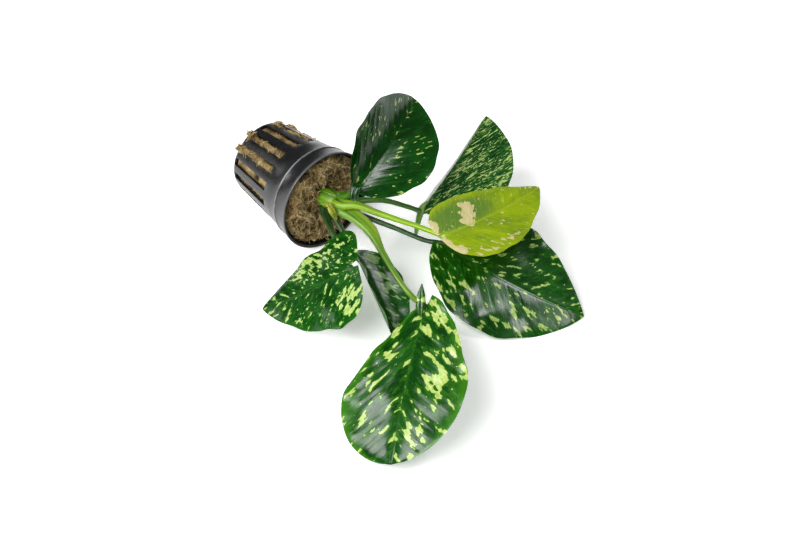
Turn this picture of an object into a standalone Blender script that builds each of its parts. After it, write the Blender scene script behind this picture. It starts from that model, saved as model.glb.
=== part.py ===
"""A variegated anubias in a slotted net pot of mineral wool, lying on its side.

Run with: blender --background --python part.py
Sizes in the tables are millimetres and degrees. The model is in metres, +Z up, resting on Z = 0.
"""
import math

import bmesh
import bpy
import numpy as np
from mathutils import Matrix, Vector

MM = 0.001
COLLECTION = "anubias_net_pot"
CUTTERS = "cutters"
FOOTPRINT_CENTRE = Vector((2.5, -6.3, 0.0))  # middle of the whole footprint, moved to the origin
GAP = 0.35  # clear space left between pieces that touch in the real thing

# The net pot, as depths behind its mouth
MOUTH_X = -38.0
MOUTH_Y = 43.0
POT_HEADING = -48.7
POT_LENGTH = 54.0
POT_WALL = 1.3
LIP_RADIUS = 27.5
LIP_THICKNESS = 0.8
COLLAR_DEPTH = 9.6
COLLAR_TOP_RADIUS = 27.1
COLLAR_FOOT_RADIUS = 26.1
BODY_TOP_RADIUS = 25.4
BODY_FOOT_RADIUS = 20.8
BODY_FOOT_DEPTH = 51.0
BASE_RADIUS = 17.6
SLOT_COUNT = 16
SLOT_START = 21.5
SLOT_TURN = -3.0
COLUMNS_PER_SLOT = 4

# The wool plug and the pit that the crown grows out of
WOOL_RECESS = 3.0
WOOL_COLUMNS = 32
PIT_RADIUS = 8.0
PIT_CENTRE = Vector((-38.0, 45.0, 28.0))

# The crown: points along the rhizome's growing end, each with its radius
CROWN = (
    ((-40.0, 47.0, 27.5), 3.6),
    ((-39.0, 43.0, 30.5), 4.8),
    ((-36.0, 38.5, 33.0), 5.0),
    ((-32.5, 35.5, 34.0), 4.2),
)

BLADE_THICKNESS = 0.8
BLADE_ROWS = 12
BLADE_COLUMNS = 8

# Each leaf blade: base point, the way its midrib sets out, its size and how it bends.
# lobe is how far the heart-shaped base reaches back, widest is where the blade is broadest,
# point is how sharp the tip is, sweep bends the midrib sideways. Pairs are left, right.
BLADES = {
    "back": dict(
        base=(-21, 21, 59), heading=52, pitch=14, roll=37, length=63, half_width=25, lobe=2,
        widest=0.47, point=0.75, arch=-21, sweep=10, twist=0, fold=(30, 18), curl=(9, 0),
    ),
    "far": dict(
        base=(12, 32, 33), heading=52, pitch=15, roll=14, length=67, half_width=29, lobe=2,
        widest=0.50, point=0.75, arch=-13, sweep=12, twist=-6, fold=(-68, 4), curl=(-12, 0),
    ),
    "lime": dict(
        base=(23, 0, 49), heading=34, pitch=-9, roll=3, length=65, half_width=22, lobe=5,
        widest=0.32, point=0.76, arch=-2, sweep=15, twist=6, fold=(-8, 1), curl=(-3, 0),
    ),
    "right": dict(
        base=(22, 15, 25.4), heading=-31, pitch=-16, roll=15, length=80, half_width=30, lobe=5,
        widest=0.45, point=0.83, arch=-8, sweep=17, twist=3, fold=(7, 0), curl=(0, -2),
    ),
    "front": dict(
        base=(12, -29, 27.6), heading=-105, pitch=-9, roll=7, length=83, half_width=34, lobe=8,
        widest=0.64, point=0.54, arch=-7, sweep=6, twist=6, fold=(14, -16), curl=(5, -2),
    ),
    "folded": dict(
        base=(-21, 5, 27), heading=-61, pitch=-27, roll=-37, length=52, half_width=17, lobe=3,
        widest=0.42, point=0.82, arch=-5, sweep=2, twist=5, fold=(32, 36), curl=(-3, 2),
    ),
    "left": dict(
        base=(-25, -14, 40), heading=180, pitch=-42, roll=-22, length=56, half_width=27, lobe=6,
        widest=0.25, point=0.78, arch=6, sweep=-8, twist=0, fold=(5, -20), curl=(-5, -5),
    ),
}

# Each leaf stalk: its points from the crown, and its radius at the crown and at the blade
PETIOLES = {
    "back": (((-29.5, 37.5, 36.5), (-26, 33, 42), (-24, 28, 50)), 1.4, 1.2),
    "far": (((-28.2, 34.5, 35.2), (-20, 34, 36), (-8, 32, 35), (6, 26.5, 30.5)), 1.4, 1.0),
    "lime": (((-28.8, 31.8, 36.5), (-21, 29, 38.5), (-10, 21, 41), (8, 9, 45)), 1.4, 1.4),
    "right": (((-28.0, 33.5, 31.5), (-18, 30, 29.5), (-2, 24, 27), (12, 18, 25)), 1.3, 1.2),
    "front": (((-30.0, 31.0, 33.2), (-24, 26, 33), (-14, 15, 31), (-1, -8, 25), (6, -18, 23)), 1.8, 1.4),
    "folded": (((-33.5, 31.0, 30.5), (-30, 23, 28.5), (-25, 13, 26)), 1.2, 1.1),
    "left": (((-38.0, 34.0, 29.5), (-35, 22, 29), (-30, 8, 29.5), (-27, -6, 33)), 1.3, 1.2),
}

SHEATH = (
    ((-36.2, 30.0, 38.6), 0.9),
    ((-34.8, 28.2, 37.6), 1.7),
    ((-33.2, 26.4, 35.8), 1.6),
    ((-32.0, 25.2, 33.4), 0.5),
)


def clear_scene():
    for old in list(bpy.data.objects):
        bpy.data.objects.remove(old, do_unlink=True)


def make_collection(name):
    collection = bpy.data.collections.new(name)
    bpy.context.scene.collection.children.link(collection)
    return collection


def make_material(name, colour, roughness, metallic=0.0):
    material = bpy.data.materials.new(name)
    material.use_nodes = True
    shader = material.node_tree.nodes["Principled BSDF"]
    shader.inputs["Base Color"].default_value = (*colour, 1.0)
    shader.inputs["Roughness"].default_value = roughness
    shader.inputs["Metallic"].default_value = metallic
    return material


def add_object(name, data, collection, material=None):
    piece = bpy.data.objects.new(name, data)
    collection.objects.link(piece)
    if material is not None:
        data.materials.append(material)
    return piece


def placed(point):
    """A point of the tables, in metres from the middle of the footprint."""
    return (Vector(point) - FOOTPRINT_CENTRE) * MM


def grid_mesh(name, columns, rows, place, keep=None):
    """A grid whose corners are moved by place(column, row), with only the kept cells."""
    bm = bmesh.new()
    bmesh.ops.create_grid(bm, x_segments=columns, y_segments=rows, size=0.5)
    if keep is not None:
        dropped = []
        for face in bm.faces:
            middle = face.calc_center_median()
            column = int((middle.x + 0.5) * columns)
            row = int((middle.y + 0.5) * rows)
            if not keep(column, row):
                dropped.append(face)
        bmesh.ops.delete(bm, geom=dropped, context="FACES")
    for vert in bm.verts:
        column = round((vert.co.x + 0.5) * columns)
        row = round((vert.co.y + 0.5) * rows)
        vert.co = place(column, row)
    bmesh.ops.remove_doubles(bm, verts=bm.verts[:], dist=0.00001)
    bmesh.ops.dissolve_degenerate(bm, edges=bm.edges[:], dist=0.00001)
    mesh = bpy.data.meshes.new(name)
    bm.to_mesh(mesh)
    bm.free()
    return mesh


def thicken(piece, thickness, offset):
    wall = piece.modifiers.new("wall", "SOLIDIFY")
    wall.thickness = thickness * MM
    wall.offset = offset
    wall.use_even_offset = True


# ---- the pot and the wool ----

def pot_tilt():
    """The pot rests on its lip and on the foot of its body, so its axis rises to the mouth."""
    return math.atan2(LIP_RADIUS - BODY_FOOT_RADIUS, BODY_FOOT_DEPTH - LIP_THICKNESS)


def pot_matrix():
    """From the pot's own frame, Z out of the mouth and its mouth at zero, to the model's."""
    tilt = pot_tilt()
    heading = math.radians(POT_HEADING)
    side = Vector((-math.sin(heading), math.cos(heading), 0.0))
    axis = Vector((math.cos(tilt) * math.cos(heading), math.cos(tilt) * math.sin(heading), math.sin(tilt)))
    above = axis.cross(side)
    height = LIP_RADIUS * math.cos(tilt) + LIP_THICKNESS * math.sin(tilt)
    turned = Matrix((side, above, axis)).transposed().to_4x4()
    return Matrix.Translation(placed((MOUTH_X, MOUTH_Y, height))) @ turned


def lathe(name, profile, columns, turn, keep=None):
    """A turned skin in the pot's frame, from (radius, depth) points that start at the base."""
    def place(column, row):
        radius, depth = profile[row]
        angle = math.radians(turn) + math.tau * (column % columns) / columns
        return Vector((radius * math.cos(angle), radius * math.sin(angle), -depth)) * MM
    return grid_mesh(name, columns, len(profile) - 1, place, keep)


def body_radius(depth):
    share = (depth - COLLAR_DEPTH - 1.0) / (BODY_FOOT_DEPTH - COLLAR_DEPTH - 1.0)
    return BODY_TOP_RADIUS + (BODY_FOOT_RADIUS - BODY_TOP_RADIUS) * share


def make_net_pot(collection):
    columns = SLOT_COUNT * COLUMNS_PER_SLOT
    profile = (
        (0.0, POT_LENGTH),
        (BASE_RADIUS, POT_LENGTH),
        (0.5 * (BASE_RADIUS + BODY_FOOT_RADIUS) + 0.7, POT_LENGTH - 0.8),
        (BODY_FOOT_RADIUS, BODY_FOOT_DEPTH),
        (body_radius(SLOT_START), SLOT_START),
        (BODY_TOP_RADIUS, COLLAR_DEPTH + 1.0),
        (COLLAR_FOOT_RADIUS, COLLAR_DEPTH),
        (COLLAR_TOP_RADIUS, LIP_THICKNESS + 0.5),
        (LIP_RADIUS, LIP_THICKNESS),
        (LIP_RADIUS, 0.0),
    )
    slot_row = 3

    def keep(column, row):
        return row != slot_row or column % COLUMNS_PER_SLOT >= 2

    mesh = lathe("net_pot", profile, columns, SLOT_TURN - 180.0 / (SLOT_COUNT * 2), keep)
    plastic = make_material("black_plastic", (0.018, 0.018, 0.020), 0.38)
    pot = add_object("net_pot", mesh, collection, plastic)
    pot.matrix_world = pot_matrix()
    thicken(pot, POT_WALL, -1.0)
    return pot


def make_rock_wool(collection, cutters):
    inset = POT_WALL + GAP
    foot = POT_LENGTH - POT_WALL - GAP
    profile = (
        (0.0, foot),
        (BASE_RADIUS - 0.9, foot),
        (BODY_FOOT_RADIUS - inset - 0.9, foot - 0.9),
        (BODY_FOOT_RADIUS - inset - 0.2, BODY_FOOT_DEPTH - 0.6),
        (BODY_TOP_RADIUS - inset - 0.2, COLLAR_DEPTH + 1.4),
        (BODY_TOP_RADIUS - inset + 0.3, COLLAR_DEPTH - 0.8),
        (COLLAR_TOP_RADIUS - inset - 0.3, WOOL_RECESS + 1.2),
        (COLLAR_TOP_RADIUS - inset - 2.5, WOOL_RECESS),
        (0.5 * LIP_RADIUS, WOOL_RECESS - 0.6),
        (0.0, WOOL_RECESS - 0.8),
    )
    mesh = lathe("rock_wool", profile, WOOL_COLUMNS, 0.0)
    fibre = make_material("rock_wool", (0.36, 0.27, 0.14), 0.95)
    wool = add_object("rock_wool", mesh, collection, fibre)
    wool.matrix_world = pot_matrix()
    pit = make_pit_cutter(cutters)
    cut = wool.modifiers.new("crown_pit", "BOOLEAN")
    cut.operation = "DIFFERENCE"
    cut.solver = "EXACT"
    cut.object = pit
    return wool


def make_pit_cutter(cutters):
    bm = bmesh.new()
    bmesh.ops.create_uvsphere(bm, u_segments=14, v_segments=8, radius=PIT_RADIUS * MM)
    mesh = bpy.data.meshes.new("crown_pit")
    bm.to_mesh(mesh)
    bm.free()
    pit = add_object("crown_pit", mesh, cutters)
    pit.location = placed(PIT_CENTRE)
    pit.display_type = "WIRE"
    pit.hide_render = True
    return pit


# ---- the plant ----

def make_tube(name, points, radii, collection, material):
    """A round stem through the points, with closed ends."""
    curve = bpy.data.curves.new(name, "CURVE")
    curve.dimensions = "3D"
    curve.bevel_depth = MM
    curve.bevel_resolution = 2
    curve.resolution_u = 3
    curve.render_resolution_u = 3
    curve.use_fill_caps = True
    spline = curve.splines.new("BEZIER")
    spline.bezier_points.add(len(points) - 1)
    for knot, point, radius in zip(spline.bezier_points, points, radii):
        knot.co = point
        knot.radius = radius
        knot.handle_left_type = "AUTO"
        knot.handle_right_type = "AUTO"
    return add_object(name, curve, collection, material)


def make_bud(name, rings, collection, material):
    """A round tapering body through a list of points, each with its radius in mm."""
    points = [placed(point) for point, radius in rings]
    radii = [radius for point, radius in rings]
    return make_tube(name, points, radii, collection, material)


def make_crown(collection, material):
    crown = make_bud("crown", CROWN, collection, material)
    crown.data.bevel_resolution = 4
    return crown


def blade_flat(leaf, along_midrib, across):
    """The flat leaf, in mm: distance to the left of the midrib, and forward of its base.

    A lateral vein leaves the midrib at along_midrib (0 to 1) and curves out to the margin, and
    across (-1 to 1) runs along it from the right margin to the left one.
    """
    reach = along_midrib ** 1.35
    bulge = math.log(0.5) / math.log(leaf["widest"])
    margin = leaf["half_width"] * np.sin(np.pi * reach ** bulge) ** (0.62 + (leaf["point"] - 0.62) * reach)
    margin = np.maximum(margin, 0.06 * leaf["half_width"] * (1.0 - reach) ** 6)
    margin_forward = -leaf["lobe"] + (leaf["length"] + leaf["lobe"]) * reach
    root_forward = leaf["length"] * along_midrib ** 1.5
    side = np.abs(across)
    bend_left = 0.55 * margin
    bend_forward = root_forward + 0.30 * (margin_forward - root_forward)
    left = 2.0 * side * (1.0 - side) * bend_left + side ** 2 * margin
    forward = (1.0 - side) ** 2 * root_forward + 2.0 * side * (1.0 - side) * bend_forward
    forward = forward + side ** 2 * margin_forward
    return left * np.sign(across), forward


def midrib_frame(leaf, forward):
    """Where the bent midrib is at each forward distance, and its left and up directions."""
    length = leaf["length"]
    steps = np.linspace(-1.5 * leaf["lobe"], 1.02 * length, 120)
    share = np.maximum(steps, 0.0) / length
    rise = np.radians(leaf["arch"]) * share
    swing = np.radians(leaf["sweep"]) * share
    heads = np.stack((np.cos(rise) * np.cos(swing), np.cos(rise) * np.sin(swing), np.sin(rise)), axis=1)
    strides = 0.5 * (heads[1:] + heads[:-1]) * np.diff(steps)[:, None]
    path = np.vstack((np.zeros(3), np.cumsum(strides, axis=0)))
    path = path - [np.interp(0.0, steps, path[:, axis]) for axis in range(3)]
    here = np.stack([np.interp(forward, steps, path[:, axis]) for axis in range(3)], axis=-1)
    head = np.stack([np.interp(forward, steps, heads[:, axis]) for axis in range(3)], axis=-1)
    swing_here = np.interp(forward, steps, swing)
    left = np.stack((-np.sin(swing_here), np.cos(swing_here), np.zeros_like(swing_here)), axis=-1)
    up = np.cross(head, left)
    turn = np.radians(leaf["twist"]) * np.clip(forward / length, -0.3, 1.0)[..., None]
    return here, left * np.cos(turn) + up * np.sin(turn), up * np.cos(turn) - left * np.sin(turn)


def leaf_axes(leaf):
    """Forward, left and up at the base of the blade."""
    heading, pitch, roll = (math.radians(leaf[key]) for key in ("heading", "pitch", "roll"))
    forward = Vector((math.cos(heading) * math.cos(pitch), math.sin(heading) * math.cos(pitch), math.sin(pitch)))
    level = Vector((-math.sin(heading), math.cos(heading), 0.0))
    upright = forward.cross(level)
    left = level * math.cos(roll) + upright * math.sin(roll)
    return forward, left, forward.cross(left)


def blade_points(leaf, along_midrib, across):
    """Points of the finished blade's middle surface, in the tables' frame."""
    left, forward = blade_flat(leaf, along_midrib, across)
    here, side, up = midrib_frame(leaf, forward)
    width = np.abs(left)
    on_left = left > 0.0
    fold = np.where(on_left, leaf["fold"][0], leaf["fold"][1])
    curl = np.where(on_left, leaf["curl"][0], leaf["curl"][1])
    lift = np.radians(fold + curl * width / (2.0 * leaf["half_width"]))
    local = here + side * (left * np.cos(lift))[..., None] + up * (width * np.sin(lift))[..., None]
    axes = np.array([tuple(axis) for axis in leaf_axes(leaf)])
    return np.array(leaf["base"], dtype=float) + local @ axes


def make_blade(name, leaf, collection, material):
    along, across = np.meshgrid(np.linspace(0, 1, BLADE_ROWS + 1), np.linspace(-1, 1, BLADE_COLUMNS + 1))
    points = blade_points(leaf, along, across)

    def place(column, row):
        return placed(points[row, column])

    mesh = grid_mesh(name, BLADE_ROWS, BLADE_COLUMNS, place)
    blade = add_object(name, mesh, collection, material)
    thicken(blade, BLADE_THICKNESS, 0.0)
    return blade


def stalk_end(leaf, radius):
    """Where the stalk stops, just under the base of its blade."""
    forward, left, up = leaf_axes(leaf)
    fold_left, fold_right = leaf["fold"]
    lean = math.radians(0.5 * (fold_right - fold_left))
    pinch = math.cos(math.radians(min(0.0, 0.5 * (fold_left + fold_right))))
    drop = (0.5 * BLADE_THICKNESS + 2.0 * GAP + radius) / pinch
    return Vector(leaf["base"]) - (left * math.sin(lean) + up * math.cos(lean)) * drop - forward * 0.5


def make_petiole(place_name, collection, material):
    route, crown_radius, blade_radius = PETIOLES[place_name]
    end = stalk_end(BLADES[place_name], blade_radius)
    points = [placed(point) for point in route] + [placed(end)]
    steps = len(points) - 1
    radii = [crown_radius + (blade_radius - crown_radius) * i / steps for i in range(steps + 1)]
    return make_tube("petiole_" + place_name, points, radii, collection, material)


def blade_colours():
    dark = (0.035, 0.150, 0.020)
    return {
        "back": dark,
        "far": (0.050, 0.160, 0.030),
        "lime": (0.330, 0.500, 0.010),
        "right": dark,
        "front": (0.080, 0.210, 0.030),
        "folded": dark,
        "left": (0.080, 0.230, 0.030),
    }


def main():
    clear_scene()
    collection = make_collection(COLLECTION)
    cutters = make_collection(CUTTERS)
    make_net_pot(collection)
    make_rock_wool(collection, cutters)
    make_crown(collection, make_material("crown_green", (0.140, 0.290, 0.030), 0.45))
    colours = blade_colours()
    for place_name, leaf in BLADES.items():
        blade_skin = make_material("blade_" + place_name, colours[place_name], 0.35)
        stalk_skin = make_material("petiole_" + place_name, (0.130, 0.300, 0.030), 0.40)
        make_blade("blade_" + place_name, leaf, collection, blade_skin)
        make_petiole(place_name, collection, stalk_skin)
    young = make_material("sheath", (0.360, 0.450, 0.050), 0.45)
    make_bud("sheath", SHEATH, collection, young)


main()
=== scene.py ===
"""Looks of the variegated anubias in its net pot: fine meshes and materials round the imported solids."""
import math

import bmesh
import bpy
import numpy as np
from mathutils import Matrix, Vector


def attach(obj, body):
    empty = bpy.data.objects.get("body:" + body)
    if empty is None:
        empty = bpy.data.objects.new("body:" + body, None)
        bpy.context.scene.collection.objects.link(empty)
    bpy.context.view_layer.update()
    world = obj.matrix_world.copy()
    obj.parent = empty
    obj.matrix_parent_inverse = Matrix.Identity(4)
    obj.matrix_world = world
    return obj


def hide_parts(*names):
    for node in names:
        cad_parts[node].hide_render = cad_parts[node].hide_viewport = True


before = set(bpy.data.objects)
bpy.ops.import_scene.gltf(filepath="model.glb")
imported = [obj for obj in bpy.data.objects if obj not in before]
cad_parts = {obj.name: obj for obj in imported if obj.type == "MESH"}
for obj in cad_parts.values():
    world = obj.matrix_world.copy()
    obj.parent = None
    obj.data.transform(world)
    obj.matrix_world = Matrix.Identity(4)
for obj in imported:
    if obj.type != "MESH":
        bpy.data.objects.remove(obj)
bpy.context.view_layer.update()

MM = 0.001
ORIGIN = Vector((2.5, -6.3, 0.0))  # the model's origin in the frame of the tables below, in mm

# settings that many nodes share; a colour mix takes its factor, A and B at 0, 6 and 7, its result is at 2
EASED = {"interpolation_type": "SMOOTHSTEP"}
COLOURS = {"data_type": "RGBA"}
TINT = {"data_type": "RGBA", "blend_type": "MULTIPLY"}
TIMES = {"operation": "MULTIPLY"}
TIMES_PLUS = {"operation": "MULTIPLY_ADD"}

# ---- net pot, in mm, depths behind its mouth ----
MOUTH = (-38.0, 43.0)
POT_HEADING = -48.7
POT_LENGTH = 54.0
POT_WALL = 1.3
LIP_RADIUS = 27.5
LIP_THICKNESS = 0.8
COLLAR_DEPTH = 9.6
COLLAR_FOOT_RADIUS = 26.1
BODY_TOP_RADIUS = 25.4
BODY_FOOT_RADIUS = 20.8
BODY_FOOT_DEPTH = 51.0
BASE_RADIUS = 17.6
SLOT_COUNT = 16
SLOT_START = 21.5
SLOT_END = 52.2
SLOT_TURN = -3.0
SLOT_SHARE = 0.5
CELLS_PER_SLOT = 12  # cells of the turned skin round each slot and rib
EDGE_ROUND = 0.22
WOOL_RECESS = 2.6

# ---- crown and leaves, in mm and degrees, as the solids have them ----
CROWN = ((-41, 49, 25), (-40, 46, 28), (-38.5, 42, 31.5), (-35.5, 38, 33.5), (-31.5, 34.5, 34.2))
CROWN_RADII = (2.5, 4.2, 5.0, 4.7, 3.4)
CROWN_WRAPS = 5

BLADES = {
    "back": dict(
        base=(-21, 21, 59), heading=52, pitch=14, roll=37, length=63, half_width=25, lobe=2,
        widest=0.47, point=0.75, arch=-21, sweep=10, twist=0, fold=(30, 18), curl=(9, 0),
    ),
    "far": dict(
        base=(12, 32, 33), heading=52, pitch=15, roll=14, length=67, half_width=29, lobe=2,
        widest=0.50, point=0.75, arch=-13, sweep=12, twist=-6, fold=(-68, 4), curl=(-12, 0),
    ),
    "lime": dict(
        base=(23, 0, 49), heading=34, pitch=-9, roll=3, length=65, half_width=22, lobe=5,
        widest=0.32, point=0.76, arch=-2, sweep=15, twist=6, fold=(-8, 1), curl=(-3, 0),
    ),
    "right": dict(
        base=(22, 15, 25.4), heading=-31, pitch=-16, roll=15, length=80, half_width=30, lobe=5,
        widest=0.45, point=0.83, arch=-8, sweep=17, twist=3, fold=(7, 0), curl=(0, -2),
    ),
    "front": dict(
        base=(12, -29, 27.6), heading=-105, pitch=-9, roll=7, length=83, half_width=34, lobe=8,
        widest=0.64, point=0.54, arch=-7, sweep=6, twist=6, fold=(14, -16), curl=(5, -2),
    ),
    "folded": dict(
        base=(-21, 5, 27), heading=-61, pitch=-27, roll=-37, length=52, half_width=17, lobe=3,
        widest=0.42, point=0.82, arch=-5, sweep=2, twist=5, fold=(32, 36), curl=(-3, 2),
    ),
    "left": dict(
        base=(-25, -14, 40), heading=180, pitch=-42, roll=-22, length=56, half_width=27, lobe=6,
        widest=0.25, point=0.78, arch=6, sweep=-8, twist=0, fold=(5, -20), curl=(-5, -5),
    ),
}

# stalk points between the crown and the blade, then the radius at the crown and at the blade
PETIOLES = {
    "back": (((-29.5, 37.5, 36.5), (-26, 33, 42), (-24, 28, 50)), 1.6, 1.2),
    "far": (((-28.2, 34.5, 35.2), (-20, 34, 37), (-8, 33.5, 37.6), (4, 31, 35.6)), 1.7, 1.2),
    "lime": (((-28.8, 31.8, 36.5), (-21, 29, 38.5), (-10, 21, 41), (8, 9, 45)), 2.0, 1.3),
    "right": (((-28.0, 33.5, 31.5), (-18, 30, 29.5), (-2, 24, 27), (12, 18, 25)), 1.5, 1.2),
    "front": (((-30.0, 31.0, 33.2), (-24, 26, 33), (-14, 15, 31), (-1, -8, 25), (6, -18, 23)), 2.2, 1.4),
    "folded": (((-33.5, 31.0, 30.5), (-30, 23, 28.5), (-25, 13, 26)), 1.4, 1.1),
    "left": (((-38.0, 34.0, 29.5), (-35, 22, 29), (-30, 8, 29.5), (-27, -6, 33)), 1.5, 1.2),
}

# the small bract beside the crown: where it runs and its half width there
SHEATH = (
    (-37.2, 31.4, 38.4), (-35.6, 29.2, 38.4), (-34.0, 27.2, 36.6), (-32.6, 25.6, 34.0), (-32.0, 24.8, 32.0),
)
SHEATH_RADII = (0.7, 1.9, 2.1, 1.5, 0.3)

# what the fine leaves have beyond the solids: lobes and shoulders for the left and right half,
# softness of the fold over the midrib in mm, slant of the side veins, and how wavy the blade is
FINE_SHAPES = {
    "back": dict(softness=16.0, slant=1.1, wave=0.4, uneven=0.45, ripple=0.3),
    "far": dict(softness=4.0, slant=2.0, wave=0.5, uneven=0.6),
    "lime": dict(softness=5.0, slant=0.8, wave=0.3, uneven=0.35),
    "right": dict(softness=4.0, slant=0.9, wave=0.6, uneven=0.75, quilt=0.025),
    "front": dict(softness=6.0, slant=0.8, wave=0.5, uneven=0.7, lobes=(8, 7), shoulders=(0.40, 0.8)),
    "folded": dict(softness=3.0, slant=0.9, wave=0.6, uneven=0.3, quilt=0.015),
    "left": dict(softness=4.0, slant=0.8, wave=0.6, uneven=0.6, shoulders=(0.5, 0.5)),
}

BLADE_ROWS = 130
BLADE_COLUMNS = 84  # across one face
BLADE_THICKNESS = 0.55
VEIN_SPACING = 6.0
VEIN_SHARE = 0.10  # how much of the spacing a side vein fills
HALF_SHIFT = 60.0  # mm
VEIN_SLANT = 0.75  # how far forward a side vein runs for each mm out from the midrib
LEAF_IOR = 1.42  # plant cuticle wax

# ---- camera and softboxes ----
CAMERA_ELEVATION = 48.5
CAMERA_DISTANCE = 0.775
CAMERA_LENS = 70.0
CAMERA_AIM = (Vector((0.0, 0.0, 25.0)) - ORIGIN) * MM
LIGHT_AIM = Vector((0.0, 0.0, 0.03))
# heading from +Y towards +X and elevation in degrees, distance and side in metres, radiance
SOFTBOXES = {
    "key": (-128, 50, 1.3, 1.0, 8.4),
    "right": (92, 62, 1.2, 0.28, 13.0),
    "left": (-72, 28, 1.2, 0.30, 9.0),
}
WORLD_STRENGTH = 0.16


# ---------------------------------------------------------------- helpers

def placed(point):
    """A point of the tables, in metres in the frame of the solids."""
    return (Vector(point) - ORIGIN) * MM


def linear(code):
    """An sRGB hex colour as linear red, green, blue, alpha."""
    values = [int(code[i:i + 2], 16) / 255.0 for i in (1, 3, 5)]
    return (*[v / 12.92 if v <= 0.04045 else ((v + 0.055) / 1.055) ** 2.4 for v in values], 1.0)


def add_node(tree, kind, settings, inputs, output=0):
    """Adds a node with its settings and inputs, and gives the chosen output, or the node itself for None.

    The inputs go by name or number, or are listed in order. A socket is linked, a hex code is set as its
    linear colour, and any other value is set as it is.
    """
    made = tree.nodes.new(kind)
    for name, value in settings.items():
        setattr(made, name, value)
    for key, value in (inputs if isinstance(inputs, dict) else dict(enumerate(inputs))).items():
        if isinstance(value, bpy.types.NodeSocket):
            tree.links.new(value, made.inputs[key])
        else:
            is_colour = isinstance(value, str) and value.startswith("#")
            made.inputs[key].default_value = linear(value) if is_colour else value
    return made if output is None else made.outputs[output]


def new_material(name):
    material = bpy.data.materials.new(name)
    material.use_nodes = True
    tree = material.node_tree
    tree.nodes.clear()
    return material, tree


def finish_material(tree, looks, height=None, strength=1.0, relief=0.0):
    """Ends a material in one shader. Where there is a height, it stands out by the given relief in mm."""
    if height is not None:
        looks = dict(looks, Normal=add_node(tree, "ShaderNodeBump", {}, {
            "Height": height, "Strength": strength, "Distance": relief * MM}))
    shader = add_node(tree, "ShaderNodeBsdfPrincipled", {}, looks)
    add_node(tree, "ShaderNodeOutputMaterial", {}, {"Surface": shader}, None)


def grid_mesh(name, points, uvs=None, fields=None, under_from=None):
    """A mesh from rows of points. Doubled corners are merged, so a wrapped grid closes on itself.

    uvs holds a UV for each point, fields holds named values for each point, and the cells from
    column under_from on take the second material.
    """
    rows, columns = points.shape[0] - 1, points.shape[1] - 1
    bm = bmesh.new()
    uv_layer = bm.loops.layers.uv.new("surface")
    for key in (fields or {}):
        bm.verts.layers.float.new(key)
    layers = {key: bm.verts.layers.float[key] for key in (fields or {})}
    bmesh.ops.create_grid(bm, x_segments=columns, y_segments=rows, size=0.5)
    spot = {}
    for vert in bm.verts:
        spot[vert] = (round((vert.co.y + 0.5) * rows), round((vert.co.x + 0.5) * columns))
    for face in bm.faces:
        face.smooth = True
        if under_from is not None and min(spot[v][1] for v in face.verts) >= under_from:
            face.material_index = 1
        middle = sum(spot[v][1] for v in face.verts) / len(face.verts)
        # the two halves of a leaf take their pattern from different places, so it isn't mirrored
        half = HALF_SHIFT * math.copysign(1.0, math.cos(math.tau * middle / columns)) if under_from else 0.0
        for loop in face.loops:
            if uvs is not None:
                loop[uv_layer].uv = uvs[spot[loop.vert]] + (0.0, half)
    for vert in bm.verts:
        place = spot[vert]
        vert.co = points[place]
        for key, layer in layers.items():
            vert[layer] = fields[key][place]
    bmesh.ops.remove_doubles(bm, verts=bm.verts[:], dist=0.000002)
    bmesh.ops.dissolve_degenerate(bm, edges=bm.edges[:], dist=0.0000005)
    mesh = bpy.data.meshes.new(name)
    bm.to_mesh(mesh)
    bm.free()
    return mesh


def add_piece(name, mesh, materials):
    piece = bpy.data.objects.new(name, mesh)
    bpy.context.scene.collection.objects.link(piece)
    for material in materials:
        mesh.materials.append(material)
    return piece


def baked(piece):
    """Applies a piece's modifiers, so it is a plain mesh."""
    depsgraph = bpy.context.evaluated_depsgraph_get()
    mesh = bpy.data.meshes.new_from_object(piece.evaluated_get(depsgraph), depsgraph=depsgraph)
    piece.modifiers.clear()
    old = piece.data
    piece.data = mesh
    mesh.name = piece.name
    if isinstance(old, bpy.types.Mesh) and old.users == 0:
        bpy.data.meshes.remove(old)


def stand_for(piece, node):
    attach(piece, "root")
    if node:
        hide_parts(node)


def smoothstep(low, high, value):
    share = np.clip((value - low) / (high - low), 0.0, 1.0)
    return share * share * (3.0 - 2.0 * share)


def lumps(x, y, z, size, seed):
    """Cheap smooth lumpiness between about -1 and 1, with features of the given size in mm."""
    rng = np.random.default_rng(seed)
    total = np.zeros_like(x)
    for _ in range(7):
        way = rng.normal(size=3)
        way /= np.linalg.norm(way) * size * rng.uniform(0.7, 1.5)
        total = total + np.sin((x * way[0] + y * way[1] + z * way[2]) * math.tau + rng.uniform(0, math.tau))
    return total / 3.2


# ---------------------------------------------------------------- leaf blades

def blade_flat(leaf, along, across):
    """The flat leaf, in mm: how far left of the midrib and forward of its base each point is."""
    reach = along ** 1.35
    bulge = math.log(0.5) / math.log(leaf["widest"])
    shoulder = np.where(across > 0.0, *leaf.get("shoulders", (0.62, 0.62)))
    lobe = np.where(across > 0.0, *leaf.get("lobes", (leaf["lobe"], leaf["lobe"])))
    fullness = shoulder + (leaf["point"] - shoulder) * reach
    margin = leaf["half_width"] * np.sin(np.pi * reach ** bulge) ** fullness
    margin = np.maximum(margin, 0.06 * leaf["half_width"] * (1.0 - reach) ** 6)
    margin_forward = -lobe + (leaf["length"] + lobe) * reach
    root_forward = leaf["length"] * along ** 1.5
    side = np.abs(across)
    bend_left = 0.55 * margin
    bend_forward = root_forward + 0.30 * (margin_forward - root_forward)
    left = 2.0 * side * (1.0 - side) * bend_left + side ** 2 * margin
    forward = (1.0 - side) ** 2 * root_forward + 2.0 * side * (1.0 - side) * bend_forward
    forward = forward + side ** 2 * margin_forward
    return left * np.sign(across), forward


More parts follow.
